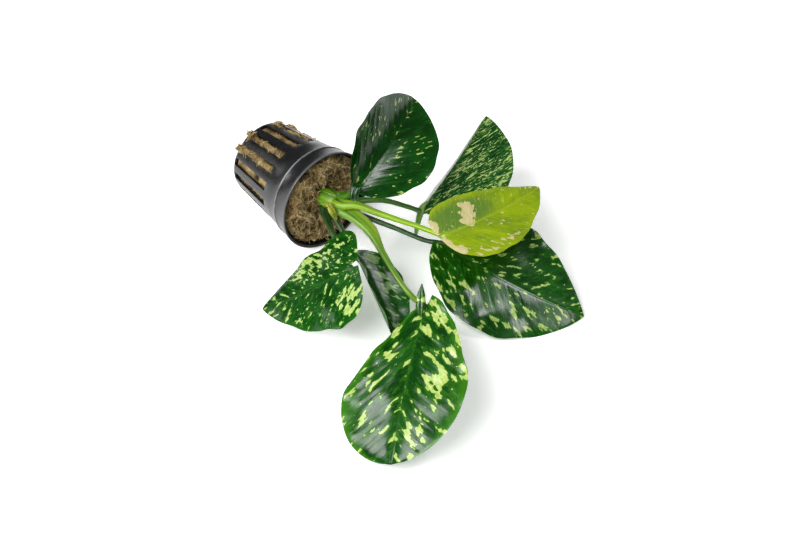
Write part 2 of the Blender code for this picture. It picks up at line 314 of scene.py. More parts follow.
def midrib_frame(leaf, forward):
    """Where the bent midrib is at each forward distance, and its left and up directions."""
    length = leaf["length"]
    steps = np.linspace(-16.0, 1.02 * length, 120)
    share = np.maximum(steps, 0.0) / length
    rise = np.radians(leaf["arch"]) * share
    swing = np.radians(leaf["sweep"]) * share
    heads = np.stack((np.cos(rise) * np.cos(swing), np.cos(rise) * np.sin(swing), np.sin(rise)), axis=1)
    strides = 0.5 * (heads[1:] + heads[:-1]) * np.diff(steps)[:, None]
    path = np.vstack((np.zeros(3), np.cumsum(strides, axis=0)))
    path = path - [np.interp(0.0, steps, path[:, axis]) for axis in range(3)]
    here = np.stack([np.interp(forward, steps, path[:, axis]) for axis in range(3)], axis=-1)
    head = np.stack([np.interp(forward, steps, heads[:, axis]) for axis in range(3)], axis=-1)
    swing_here = np.interp(forward, steps, swing)
    left = np.stack((-np.sin(swing_here), np.cos(swing_here), np.zeros_like(swing_here)), axis=-1)
    up = np.cross(head, left)
    turn = np.radians(leaf["twist"]) * np.clip(forward / length, -0.3, 1.0)[..., None]
    return here, left * np.cos(turn) + up * np.sin(turn), up * np.cos(turn) - left * np.sin(turn)


def leaf_axes(leaf):
    """Forward, left and up at the base of the blade."""
    heading, pitch, roll = (math.radians(leaf[key]) for key in ("heading", "pitch", "roll"))
    level_run = math.cos(pitch)
    forward = Vector((math.cos(heading) * level_run, math.sin(heading) * level_run, math.sin(pitch)))
    level = Vector((-math.sin(heading), math.cos(heading), 0.0))
    upright = forward.cross(level)
    left = level * math.cos(roll) + upright * math.sin(roll)
    return forward, left, forward.cross(left)


def blade_grid(leaf, seed, rows, columns, thickness, waviness):
    """Points of a closed leaf, upper face then under face, with the UV and fields that go with them.

    The UV runs in mm: along the midrib to the root of the side vein, then out along that vein.
    """
    along, across = np.meshgrid(np.linspace(0, 1, rows + 1), np.linspace(-1, 1, columns + 1), indexing="ij")
    left, forward = blade_flat(leaf, along, across)
    width = np.abs(left)
    outward = np.sign(left)
    rng = np.random.default_rng(seed)
    phase = rng.uniform(0, math.tau, 4)
    # the margin wanders a little, as a grown edge does
    ripple = np.sin(along * 23.0 + phase[0] + outward) + 0.7 * np.sin(along * 41.0 + phase[1] - 2 * outward)
    wander = leaf.get("ripple", 0.35) * ripple * np.sin(np.pi * along) ** 0.6 * np.abs(across) ** 3
    left = left + outward * wander
    width = np.abs(left)
    half = leaf["half_width"]
    slant = leaf.get("slant", VEIN_SLANT)
    root = forward - slant * width * (1.0 - 0.12 * width / half)
    here, side, up = midrib_frame(leaf, forward)
    fold = np.where(left > 0.0, leaf["fold"][0], leaf["fold"][1])
    curl = np.where(left > 0.0, leaf["curl"][0], leaf["curl"][1])
    full_lift = np.radians(fold + curl * width / (2.0 * half))
    softness = leaf.get("softness", 1.6)
    spread = np.maximum(width.max(axis=1, keepdims=True), 0.5)
    rounded = (np.hypot(width, softness) - softness) * spread / (np.hypot(spread, softness) - softness)
    lift = full_lift * smoothstep(-0.4 * softness, 1.6 * softness, width)
    level = left * np.cos(full_lift)
    rise = rounded * np.sin(full_lift)
    # blisters between the side veins, waves along the margin and a gentle overall unevenness
    turns = math.tau * root / VEIN_SPACING
    quilt = np.cos(turns) + 0.4 * np.cos(2.0 * turns + phase[3])
    quilt = quilt * np.sin(np.pi * np.clip(np.abs(across), 0, 1)) ** 0.7
    wave = np.sin(along * 17.0 + phase[0] + outward * 1.3) + 0.6 * np.sin(along * 31.0 + phase[1] - outward)
    wave = wave * np.sin(np.pi * along) ** 0.5 * np.abs(across) ** 2.2
    uneven = lumps(forward, left, 0.0 * left, 17.0, seed) * np.abs(across) * np.sin(np.pi * along)
    relief = waviness * wave - leaf.get("quilt", 0.045) * quilt + leaf.get("uneven", 0.5) * uneven
    rib_width = 1.0 * (1.0 - 0.75 * along) + 0.15
    rib = np.exp(-(width / rib_width) ** 2)
    taper = (1.0 - np.abs(across) ** 6) ** 0.5 * np.clip(along * 40.0, 0, 1) ** 0.5
    taper = taper * np.clip((1.0 - along) * 25.0, 0, 1) ** 0.5
    normal = up * np.cos(lift)[..., None] - side * (outward * np.sin(lift))[..., None]
    middle = here + side * level[..., None] + up * rise[..., None] + normal * relief[..., None]
    top = middle + normal * ((0.5 * thickness - 0.25 * rib) * taper)[..., None]
    keel = 0.95 * (1.0 - 0.85 * along)
    under = middle - normal * ((0.5 * thickness + keel * rib) * taper)[..., None]
    axes = np.array([tuple(axis) for axis in leaf_axes(leaf)])
    both = np.concatenate((top, under[:, ::-1][:, 1:]), axis=1)
    world = (np.array(leaf["base"], dtype=float) + both @ axes - np.array(ORIGIN)) * MM
    uv = np.stack((root, left * (1.0 + slant ** 2) ** 0.5), axis=-1)
    both_uv = np.concatenate((uv, uv[:, ::-1][:, 1:]), axis=1)
    fields = {"rib": rib, "edge": np.abs(across)}
    for key in ("patch", "tone"):
        fields[key] = oval_field(leaf.get(key, ()), left, forward)
    both_fields = {key: np.concatenate((f, f[:, ::-1][:, 1:]), axis=1) for key, f in fields.items()}
    return world, both_uv, both_fields


def oval_field(ovals, left, forward):
    """Soft ovals: mm ahead of the blade's base, mm to the left, half length, half width, strength."""
    field = np.zeros_like(left)
    for ahead, aside, long, wide, strength in ovals:
        reach = ((forward - ahead) / long) ** 2 + ((left - aside) / wide) ** 2
        field = np.maximum(field, strength * np.exp(-reach * reach))
    return field


def make_blade(name, leaf, seed, materials):
    waviness = leaf.get("wave", 0.5)
    points, uvs, fields = blade_grid(leaf, seed, BLADE_ROWS, BLADE_COLUMNS, BLADE_THICKNESS, waviness)
    mesh = grid_mesh(name, points, uvs, fields, under_from=BLADE_COLUMNS)
    mesh.set_sharp_from_angle(angle=math.radians(75))
    stand_for(add_piece(name + "_skin", mesh, materials), name)


# ---------------------------------------------------------------- leaf materials

def vein_lines(tree, uv):
    """1 along the side veins and 0 between them."""
    along = add_node(tree, "ShaderNodeSeparateXYZ", {}, [uv])
    waver = add_node(tree, "ShaderNodeTexNoise", {}, {"Vector": uv, "Scale": 0.12, "Detail": 1.0})
    shifted = add_node(tree, "ShaderNodeMath", TIMES_PLUS, [waver, 3.0, along])
    saw = add_node(tree, "ShaderNodeMath", {"operation": "PINGPONG"}, [shifted, 0.5 * VEIN_SPACING])
    return add_node(tree, "ShaderNodeMapRange", EASED, [saw, 0.5 * VEIN_SHARE * VEIN_SPACING, 0.0])


def stretched_noise(tree, place, shift, long_u, long_v, detail, roughness=0.5):
    """Noise with grains of the given lengths in mm along U and along V."""
    moved = add_node(tree, "ShaderNodeMapping", {}, {
        "Vector": place, "Location": shift, "Scale": (1.0 / long_u, 1.0 / long_v, 1.0)})
    return add_node(tree, "ShaderNodeTexNoise", {}, {
        "Vector": moved, "Scale": 1.0, "Detail": detail, "Roughness": roughness})


def leaf_pattern(tree, uv, look, seed):
    """Where a leaf lacks chlorophyll: large blotches along the side veins, single specks and streaks."""
    warp = add_node(tree, "ShaderNodeTexNoise", {}, {
        "Vector": uv, "Scale": 0.35, "Detail": 3.0, "Roughness": 0.6}, "Color")
    warped = add_node(tree, "ShaderNodeVectorMath", TIMES_PLUS, [warp, (1.2, 2.4, 0.0), uv])
    cloud = add_node(tree, "ShaderNodeTexNoise", {}, {
        "Vector": uv, "Scale": 0.06, "Detail": 3.0, "Roughness": 0.6})
    patch = add_node(tree, "ShaderNodeAttribute", {"attribute_name": "patch"}, {}, "Fac")
    blotch = stretched_noise(tree, warped, (seed * 7.3, seed * 3.1, seed), look["wide"], look["long"], 2.6)
    drawn = add_node(tree, "ShaderNodeMath", TIMES_PLUS, [patch, 0.40, blotch])
    pale = add_node(tree, "ShaderNodeMapRange", EASED, [drawn, look["level"], look["level"] + 0.012])
    half_tone = add_node(tree, "ShaderNodeMapRange", EASED, [
        drawn, look["level"] - 0.09, look["level"] - 0.075])
    # specks are thicker in some places than in others
    grain = look["speck"]
    speck = stretched_noise(tree, warped, (seed * 2.9, seed * 5.3, 0), grain, 2.0 * grain, 2.0)
    crowd = add_node(tree, "ShaderNodeMath", TIMES_PLUS, [cloud, look["crowding"], speck])
    small = add_node(tree, "ShaderNodeMapRange", EASED, [
        crowd, look["speck_level"], look["speck_level"] + 0.02])
    both = add_node(tree, "ShaderNodeMath", {"operation": "MAXIMUM"}, [pale, small])
    return warped, cloud, speck, half_tone, both


def leaf_upper(name, look, seed):
    """Leaf upper face: waxy cuticle over dark green, cream-green blotches that run along the side veins."""
    material, tree = new_material(name)
    uv = add_node(tree, "ShaderNodeUVMap", {"uv_map": "surface"}, {})
    edge, tone, rib = [
        add_node(tree, "ShaderNodeAttribute", {"attribute_name": field}, {}, "Fac")
        for field in ("edge", "tone", "rib")
    ]
    warped, cloud, speck, half_tone, both = leaf_pattern(tree, uv, look, seed)
    veins = vein_lines(tree, uv)
    tint = stretched_noise(tree, warped, (seed * 1.7, 0, seed * 4.1), 1.6, 6.0, 3.0)
    toned = add_node(tree, "ShaderNodeMath", TIMES_PLUS, [tint, 0.6, tone])
    # each zone of green in turn: how far it covers what lies under it, and its colour
    colour = look["dark"]
    for cover, over in (
        (add_node(tree, "ShaderNodeMapRange", EASED, [cloud, 0.38, 0.62]), look["deep"]),
        (add_node(tree, "ShaderNodeMapRange", EASED, [tint, 0.52, 0.72, 0.0, look["mottle"]]), look["mid"]),
        (add_node(tree, "ShaderNodeMapRange", EASED, [edge, 0.72, 1.0, 0.0, look["rim"]]), look["mid"]),
        # tone zones; on the lime leaf the grey-green zone is a painted sheen
        (add_node(tree, "ShaderNodeMapRange", EASED, [toned, 0.55, 1.15]), look["tone"]),
        (add_node(tree, "ShaderNodeMath", TIMES, [half_tone, look["fringe"]]), look["mid"]),
    ):
        colour = add_node(tree, "ShaderNodeMix", COLOURS, {0: cover, 6: colour, 7: over}, 2)
    lightness = add_node(tree, "ShaderNodeMapRange", EASED, [speck, 0.35, 0.65])
    light = add_node(tree, "ShaderNodeMix", COLOURS, {0: lightness, 6: look["pale"], 7: look["cream"]}, 2)
    vein_part = add_node(tree, "ShaderNodeMath", TIMES, [veins, look["vein_show"]])
    rib_part = add_node(tree, "ShaderNodeMath", TIMES, [rib, look["rib_show"]])
    for cover, over in ((both, light), (vein_part, look["vein"]), (rib_part, look["rib"])):
        colour = add_node(tree, "ShaderNodeMix", COLOURS, {0: cover, 6: colour, 7: over}, 2)
    grain = stretched_noise(tree, uv, (0, 0, 0), 0.5, 9.0, 3.0)
    shade = add_node(tree, "ShaderNodeMapRange", EASED, [grain, 0.3, 0.7, 0.93, 1.06])
    colour = add_node(tree, "ShaderNodeMix", TINT, {0: 1.0, 6: colour, 7: shade}, 2)
    # the surface: sunken side veins, fine parallel veinlets, and creases that break up the gloss
    crease = stretched_noise(tree, warped, (0, seed * 9.0, 0), 1.5, 8.0, 4.0)
    height = add_node(tree, "ShaderNodeMath", TIMES_PLUS, [veins, -0.25, crease])
    height = add_node(tree, "ShaderNodeMath", TIMES_PLUS, [grain, 0.25, height])
    rough = add_node(tree, "ShaderNodeMapRange", EASED, [
        cloud, 0.3, 0.7, look["rough"] - 0.06, look["rough"] + 0.08])
    finish_material(tree, {
        "Base Color": colour, "Roughness": rough, "IOR": LEAF_IOR, "Specular IOR Level": look["specular"]},
        height, 1.0, look["crease"])
    return material


def leaf_under(name, colour, rib_colour, look, seed):
    """Leaf under face: paler, matt green with raised ribs; the upper face's blotches show through."""
    material, tree = new_material(name)
    uv = add_node(tree, "ShaderNodeUVMap", {"uv_map": "surface"}, {})
    edge, rib = [
        add_node(tree, "ShaderNodeAttribute", {"attribute_name": field}, {}, "Fac")
        for field in ("edge", "rib")
    ]
    cloud = add_node(tree, "ShaderNodeTexNoise", {}, {
        "Vector": uv, "Scale": 0.25, "Detail": 4.0, "Roughness": 0.6})
    shade = add_node(tree, "ShaderNodeMapRange", EASED, [cloud, 0.3, 0.7, 0.7, 1.2])
    tinted = add_node(tree, "ShaderNodeMix", TINT, {0: 1.0, 6: colour, 7: shade}, 2)
    through = add_node(tree, "ShaderNodeMath", TIMES, [leaf_pattern(tree, uv, look, seed)[-1], 0.7])
    rim = add_node(tree, "ShaderNodeMapRange", EASED, [edge, 0.8, 1.0, 0.0, 0.35])
    lines = add_node(tree, "ShaderNodeMath", {"operation": "MULTIPLY_ADD", "use_clamp": True}, [
        vein_lines(tree, uv), 0.45, rib])
    for cover in (through, rim, lines):
        tinted = add_node(tree, "ShaderNodeMix", COLOURS, {0: cover, 6: tinted, 7: rib_colour}, 2)
    finish_material(tree, {"Base Color": tinted, "Roughness": 0.5, "IOR": LEAF_IOR}, lines, 0.5, 0.25)
    return material


DARK_LEAF = dict(
    dark="#042C03", deep="#083A04", mid="#1E5A10", pale="#6F9238", cream="#A0B060", vein="#0A3A08",
    rib="#2C6418", rib_show=0.3, vein_show=0.18, wide=3.6, long=8.0, level=0.63, speck=1.6, speck_level=1.0,
    crowding=0.6, mottle=0.45, rim=0.25, fringe=0.5, rough=0.18, crease=0.05,
    tone="#2E6A12", specular=0.5,
)
LEAF_LOOKS = {
    "back": dict(
        DARK_LEAF, dark="#022C01", deep="#053F02", mid="#10500A", level=0.68, speck=2.3, speck_level=0.97,
        mottle=0.25, rib_show=0.08, vein_show=0.06, rough=0.17,
    ),
    "far": dict(
        DARK_LEAF, dark="#052C0A", deep="#0A3E0C", mid="#2A6220", pale="#7E9E4C", cream="#ABBC74",
        level=0.60, wide=1.8, long=9.0, speck=1.1, speck_level=0.92, mottle=0.8, rough=0.22, crease=0.09,
    ),
    # the lime leaf's tone colour is the grey-green of its painted sheen
    "lime": dict(
        DARK_LEAF, dark="#89A208", deep="#6F8C0E", mid="#9CB00C", pale="#BFB27A", cream="#C9BF8E",
        vein="#9AAE24", rib="#9AAC20", rib_show=0.6, vein_show=0.4, level=0.70, speck=1.5, speck_level=1.00,
        mottle=0.5, fringe=0.0, wide=2.6, long=3.6, crease=0.08, rough=0.28, tone="#587A2A",
    ),
    "right": dict(
        DARK_LEAF, dark="#052F03", deep="#0A4004", pale="#7C9C48", cream="#A6B66C",
        level=0.605, wide=4.4, long=5.4, speck_level=1.04, rough=0.17,
    ),
    "front": dict(
        DARK_LEAF, dark="#053004", deep="#0B4404", mid="#34700E", pale="#8FAA4C", cream="#AFC072",
        level=0.59, wide=5.0, long=9.0, speck_level=1.07, rim=0.8, mottle=0.2, fringe=0.35, rough=0.16,
        crease=0.03,
    ),
    "folded": dict(
        DARK_LEAF, dark="#083A0A", deep="#104E0F", mid="#2E6424", pale="#6E9054", cream="#8AA670",
        level=0.65, wide=3.4, long=6.0, mottle=0.3, fringe=0.3, specular=0.28,
    ),
    "left": dict(
        DARK_LEAF, dark="#042E03", deep="#084204", pale="#86A64A", cream="#AABB74",
        level=0.625, wide=3.0, long=4.4, speck=1.2, speck_level=0.99, rim=0.4, rough=0.20, specular=0.2,
    ),
}

# pale places of each leaf: mm ahead of its base, mm to the left of its midrib, length, width, strength
BLADE_PATCHES = {
    "lime": ((15, 2.5, 4, 4, 1.1), (18.5, 7, 4.4, 4.6, 1.1), (22, 12, 4, 4.5, 1.1), (-3, 9, 3, 5, 1.1),
             (-5, -2, 3.5, 6, 1.1), (-4, -8, 3, 4, 1.0), (-1, -12, 4, 4, 1.0), (20, -17, 22, 4.5, 0.36),
             (44, 0, 14, 14, 0.12)),
    "left": ((26, -15, 14, 7, 0.35), (3, 16, 9, 9, 0.40), (8, -14, 8, 8, 0.12), (46, 4, 12, 10, 0.1)),
    "front": ((4, 9, 8, 7, 0.30), (20, 20, 20, 6, 0.16), (40, 20, 9, 9, 0.30), (14, -12, 12, 3, 0.2),
              (68, 10, 6, 7, 0.35)),
    "right": ((14, -20, 14, 8, 0.14), (60, -16, 16, 8, 0.12)),
    "far": ((20, -22, 20, 6, 0.12),),
    "folded": ((3, 8, 4, 6, 0.5), (20, 8, 11, 3.5, 0.45), (36, 5, 8, 3, 0.25)),
}
# greener or greyer zones, in the same way; the lime leaf's grey-green zone is a painted sheen where its
# gloss shows
BLADE_TONES_AND_SHEEN = {
    "lime": ((14, 8, 26, 12, 0.85),),
    "front": ((40, -30, 30, 9, 0.45), (66, -16, 14, 10, 0.3)),
}


def make_leaves():
    hanging_lobe = stalk_skin("hanging_lobe_skin", "#2C5A12", "#4A7A20", "#9AB45C")
    for seed, (place_name, leaf) in enumerate(BLADES.items(), start=1):
        leaf = dict(leaf, patch=BLADE_PATCHES.get(place_name, ()), **FINE_SHAPES[place_name])
        leaf["tone"] = BLADE_TONES_AND_SHEEN.get(place_name, ())
        upper = leaf_upper("leaf_upper_face_" + place_name, LEAF_LOOKS[place_name], seed)
        young = place_name == "lime"
        green, pale = ("#86A426", "#B4C256") if young else ("#2A5E20", "#7C9C54")
        under = leaf_under("leaf_under_face_" + place_name, green, pale, LEAF_LOOKS[place_name], seed)
        make_blade("blade_" + place_name, leaf, seed, (upper, under))
        if place_name in ROLLED_LOBES:
            hanging = place_name == "far"
            make_rolled_lobe(place_name, hanging_lobe if hanging else upper)


# ---------------------------------------------------------------- stalks and crown

# narrow rolled lobes at the base of two blades: route, half width along it
ROLLED_LOBES = {
    "far": (((14, 33.5, 36.5), (11.5, 32, 34.5), (9.5, 29.5, 28), (8.2, 27.5, 20), (8.0, 27, 16.5)),
            (0.8, 2.0, 1.7, 1.3, 0.5)),
    "back": (((-19.0, 22.5, 61.0), (-21.5, 20.5, 59.8), (-22.6, 18.0, 57.6), (-22.4, 16.6, 55.0)),
             (1.2, 3.0, 2.6, 1.2)),
    "front": (((10.0, -34.0, 26.0), (10.1, -29.5, 29.5), (10.3, -25.0, 33.5), (10.6, -21.4, 36.8)),
              (0.8, 2.6, 2.0, 0.2)),
}


def make_rolled_lobe(place_name, material):
    route, widths = ROLLED_LOBES[place_name]
    path, run = smooth_path(route, 50)

    def radius_at(angle, share):
        flat = 1.0 / np.hypot(np.cos(angle), np.sin(angle) / 0.45)
        groove = 0.35 * np.exp(-((angle - 0.5 * math.pi) / 0.5) ** 2)
        return taper(widths, share) * flat * (1.0 - groove + 0.05 * np.sin(9 * share))

    rows, uvs, _, share = tube_points(path, run, 32, radius_at)
    zero = 0.0 * share
    mesh = grid_mesh("rolled_lobe", rows, uvs, {
        "rib": zero, "edge": zero + 0.8, "patch": zero, "tone": zero, "shade": zero, "wing": zero,
        "share": share})
    stand_for(add_piece("blade_" + place_name + "_rolled_lobe", mesh, [material]), None)


def smooth_path(points, count):
    """Evenly spread points of a smooth curve through the given ones."""
    knots = np.array(points, dtype=float)
    ends = np.vstack((2 * knots[0] - knots[1], knots, 2 * knots[-1] - knots[-2]))
    pieces = []
    for i in range(1, len(ends) - 2):
        t = np.linspace(0, 1, 24, endpoint=False)[:, None]
        a, b, c, d = ends[i - 1], ends[i], ends[i + 1], ends[i + 2]
        square = (2 * a - 5 * b + 4 * c - d) * t ** 2
        cube = (3 * b - a - 3 * c + d) * t ** 3
        pieces.append(0.5 * (2 * b + (c - a) * t + square + cube))
    dense = np.vstack(pieces + [knots[-1:]])
    run = np.concatenate(([0.0], np.cumsum(np.linalg.norm(np.diff(dense, axis=0), axis=1))))
    even = np.linspace(0, run[-1], count)
    return np.stack([np.interp(even, run, dense[:, axis]) for axis in range(3)], axis=1), even


def taper(radii, share):
    """The radius at a share of the way along, with the given radii spread evenly."""
    return np.interp(share, np.linspace(0, 1, len(radii)), radii)


def tube_points(path, run, sides, radius_at):
    """Rows of points round a path, in metres, with their UV, their angle and their share of the way along.

    radius_at(angle, share) is in mm. Angle 0 is to the left of the way the path heads.
    """
    heads = np.gradient(path, axis=0)
    heads /= np.linalg.norm(heads, axis=1)[:, None]
    lefts = np.cross(np.array((0.0, 0.0, 1.0)), heads)
    lefts /= np.linalg.norm(lefts, axis=1)[:, None]
    ups = np.cross(heads, lefts)
    angles = np.linspace(0, math.tau, sides + 1)
    radius = radius_at(angles[None, :], (run / run[-1])[:, None])
    rows = path[:, None] + lefts[:, None] * (radius * np.cos(angles))[..., None]
    rows = rows + ups[:, None] * (radius * np.sin(angles))[..., None]
    first = np.repeat(path[:1, None], sides + 1, axis=1)
    last = np.repeat(path[-1:, None], sides + 1, axis=1)
    rows = np.concatenate((first, rows, last), axis=0)
    rows[:, -1] = rows[:, 0]
    around = np.tile(angles / math.tau * 8.0, (len(path) + 2, 1))
    down = np.concatenate((run[:1], run, run[-1:]))[:, None] * np.ones((1, sides + 1))
    return (rows - np.array(ORIGIN)) * MM, np.stack((down, around), axis=-1), angles[None, :], down / run[-1]


def stalk_end(leaf, radius):
    """The place just under the base of a blade where its stalk runs into the midrib."""
    forward, left, up = leaf_axes(leaf)
    fold_left, fold_right = leaf["fold"]
    lean = math.radians(0.5 * (fold_right - fold_left))
    pinch = math.cos(math.radians(min(0.0, 0.5 * (fold_left + fold_right))))
    drop = (0.2 + 0.8 * radius) / pinch
    down = -(left * math.sin(lean) + up * math.cos(lean))
    base = Vector(leaf["base"])
    return base + down * drop - forward * 0.6, base + down * (0.55 * drop) + forward * 5.0


def make_petiole(place_name, material):
    route, crown_radius, blade_radius = PETIOLES[place_name]
    joint, under_rib = stalk_end(BLADES[place_name], blade_radius)
    inside = Vector(CROWN[3]) + (Vector(route[0]) - Vector(CROWN[3])) * 0.35
    points = [tuple(inside), *route, tuple(joint), tuple(under_rib)]
    path, run = smooth_path(points, 90)
    total = run[-1]

    def plain_radius(share):
        mm = share * total
        radius = crown_radius + (blade_radius - crown_radius) * smoothstep(0.0, 0.75 * total, mm)
        radius = radius + 0.9 * np.exp(-(mm / 9.0) ** 2)
        radius = radius + 0.22 * np.exp(-((mm - (total - 7.5)) / 3.0) ** 2)
        radius = radius * (1.0 - 0.62 * smoothstep(total - 5.5, total, mm))
        return radius + 0.03 * np.sin(mm * 1.1 + len(place_name))

    wing_side, wing_start, wing_end, wing_width = WINGS.get(place_name, (0.0, 0.0, 1.0, 0.0))

    def wing_at(angle, share):
        """1 along the thin edge of a stalk base that widens into a wing."""
        mm = share * total
        along = smoothstep(wing_start, wing_start + 5.0, mm) * smoothstep(wing_end, wing_end - 16.0, mm)
        off = (angle - math.radians(wing_side) + math.pi) % math.tau - math.pi
        return np.exp(-(off / 0.42) ** 2) * along

    def groove_at(angle, share):
        sheathed = np.exp(-(share * total / 12.0) ** 2)
        groove = np.exp(-((angle - 0.5 * math.pi) / 0.5) ** 2)
        return (0.18 + 0.22 * sheathed) * groove * (1.0 - 0.5 * share)

    def radius_at(angle, share):
        sheathed = np.exp(-(share * total / 12.0) ** 2)
        wings = 0.38 * sheathed * np.cos(angle) ** 2 + wing_width * wing_at(angle, share)
        ridges = 0.025 * np.sin(7 * angle + 2 * share) + 0.02 * np.sin(11 * angle - 3 * share)
        return plain_radius(share) * (1.0 + wings - groove_at(angle, share) + ridges)

    rows, uvs, angle, share = tube_points(path, run, 48, radius_at)
    shade = 1.6 * groove_at(angle, share) + 0.5 * np.exp(-share * total / 3.0)
    mesh = grid_mesh("petiole_" + place_name, rows, uvs, {
        "share": share, "shade": np.clip(shade, 0, 1), "wing": wing_at(angle, share)})
    stand_for(add_piece("petiole_" + place_name + "_skin", mesh, [material]), "petiole_" + place_name)


def stalk_skin(name, low, high, streak):
    """Leaf stalk: smooth waxy green skin with lengthwise streaks, dark in its grooves, lime on its wing."""
    material, tree = new_material(name)
    uv = add_node(tree, "ShaderNodeUVMap", {"uv_map": "surface"}, {})
    share, wing, shade = [
        add_node(tree, "ShaderNodeAttribute", {"attribute_name": field}, {}, "Fac")
        for field in ("share", "wing", "shade")
    ]
    lines = stretched_noise(tree, uv, (0, 0, 0), 18.0, 0.7, 4.0, 0.6)
    colour = low
    for cover, over in (
        (share, high),
        (add_node(tree, "ShaderNodeMapRange", {}, [lines, 0.44, 0.66, 0.0, 0.75]), streak),
        (add_node(tree, "ShaderNodeMapRange", EASED, [wing, 0.0, 0.8]), "#8FA436"),
        (add_node(tree, "ShaderNodeMapRange", EASED, [shade, 0.0, 1.0]), "#10240A"),
    ):
        colour = add_node(tree, "ShaderNodeMix", COLOURS, {0: cover, 6: colour, 7: over}, 2)
    finish_material(tree, {"Base Color": colour, "Roughness": 0.36, "IOR": 1.45}, lines, 0.5, 0.25)
    return material


# thin wings on stalk bases: degrees round from the left, mm where it starts and ends, width in stalk radii
WINGS = {"front": (12.0, 2.0, 40.0, 1.35), "lime": (-20.0, 1.0, 20.0, 0.4)}

STALK_COLOURS = {
    "back": ("#3E7010", "#1E4A12", "#5E8A28"),
    "far": ("#3A6C12", "#1E4818", "#5C8430"),
    "lime": ("#6E9A0C", "#7A9E10", "#A0BA34"),
    "right": ("#2A5214", "#12341A", "#436A30"),
    "front": ("#5C8A14", "#44701E", "#8CAA3A"),
    # painted shade: the folded and left stalks are coloured near-black green for the shadow they lie in
    "folded": ("#0E2C06", "#3E4E12", "#3E5C18"),
    "left": ("#0C2806", "#163C0C", "#3A6420"),
}


def make_stalks():
    for place_name, (low, high, streak) in STALK_COLOURS.items():
        skin = stalk_skin("leaf_stalk_skin_" + place_name, low, high, streak)
        make_petiole(place_name, skin)


def make_crown():
    path, run = smooth_path(CROWN, 60)

    def wrap_height(angle, share):
        """0 to 1 across each of the stalk bases that wrap over one another, lowest at the covered edge."""
        turns = CROWN_WRAPS * angle / math.tau + 0.9 * share + 0.12 * np.sin(angle + 5.0 * share)
        return (turns % 1.0) ** 0.7

    def radius_at(angle, share):
        risen = wrap_height(angle, share) * smoothstep(0.05, 0.35, share)
        section = 0.94 + 0.17 * risen + 0.02 * np.sin(23 * share) + 0.015 * np.sin(9 * angle + 4 * share)
        return taper(CROWN_RADII, share) * (1.0 - 0.5 * smoothstep(0.93, 1.0, share)) * section

    rows, uvs, angle, share = tube_points(path, run, 150, radius_at)
    shade = np.exp(-wrap_height(angle, share) / 0.16) * smoothstep(0.02, 0.2, share)
    skin = stalk_skin("crown_skin", "#2C500A", "#56860F", "#86A432")
    mesh = grid_mesh("crown", rows, uvs, {"share": share, "shade": shade, "wing": 0.0 * shade})
    stand_for(add_piece("crown_skin", mesh, [skin]), "crown")


def bract_skin():
    """The bract beside the crown: thin yellow-green tissue, browning in spots as it dries."""
    material, tree = new_material("bract_skin")
    uv = add_node(tree, "ShaderNodeUVMap", {"uv_map": "surface"}, {})
    spots = add_node(tree, "ShaderNodeTexNoise", {}, {
        "Vector": uv, "Scale": 1.1, "Detail": 3.0, "Roughness": 0.6})
    lines = stretched_noise(tree, uv, (0, 0, 0), 9.0, 0.5, 3.0)
    ribbed = add_node(tree, "ShaderNodeMapRange", EASED, [lines, 0.4, 0.65])
    green = add_node(tree, "ShaderNodeMix", COLOURS, {0: ribbed, 6: "#7C8E1E", 7: "#A9A83C"}, 2)
    spotted = add_node(tree, "ShaderNodeMapRange", EASED, [spots, 0.54, 0.60])
    colour = add_node(tree, "ShaderNodeMix", COLOURS, {0: spotted, 6: green, 7: "#4A3010"}, 2)
    finish_material(tree, {"Base Color": colour, "Roughness": 0.45, "IOR": LEAF_IOR}, lines, 0.6, 0.2)
    return material


def make_sheath():
    path, run = smooth_path(SHEATH, 60)

    def radius_at(angle, share):
        flat = 1.0 / np.hypot(np.cos(angle), np.sin(angle) / 0.42)
        hollow = 0.45 * np.exp(-((angle - 0.5 * math.pi) / 0.7) ** 2)
        section = flat * (1.0 - hollow + 0.06 * np.sin(5 * angle + 6 * share))
        return taper(SHEATH_RADII, share) * (1.0 + 0.06 * np.sin(14.0 * share)) * section

    rows, uvs, _, _ = tube_points(path, run, 48, radius_at)
    mesh = grid_mesh("sheath", rows, uvs)
    stand_for(add_piece("sheath_skin", mesh, [bract_skin()]), "sheath")


# ---------------------------------------------------------------- net pot

def pot_matrix():
    """From the pot's own frame, Z out of the mouth and its mouth at zero, to the model's."""
    tilt = math.atan2(LIP_RADIUS - BODY_FOOT_RADIUS, BODY_FOOT_DEPTH - LIP_THICKNESS)
    heading = math.radians(POT_HEADING)
    side = Vector((-math.sin(heading), math.cos(heading), 0.0))
    axis = Vector((math.cos(tilt) * math.cos(heading), math.cos(tilt) * math.sin(heading), math.sin(tilt)))
    above = axis.cross(side)
    height = LIP_RADIUS * math.cos(tilt) + LIP_THICKNESS * math.sin(tilt)
    turned = Matrix((side, above, axis)).transposed().to_4x4()
    return Matrix.Translation(placed((*MOUTH, height))) @ turned


def body_radius(depth):
    """Outer radius of the pot's tapered body, in mm."""
    share = (depth - COLLAR_DEPTH - 1.0) / (BODY_FOOT_DEPTH - COLLAR_DEPTH - 1.0)
    return BODY_TOP_RADIUS + (BODY_FOOT_RADIUS - BODY_TOP_RADIUS) * share


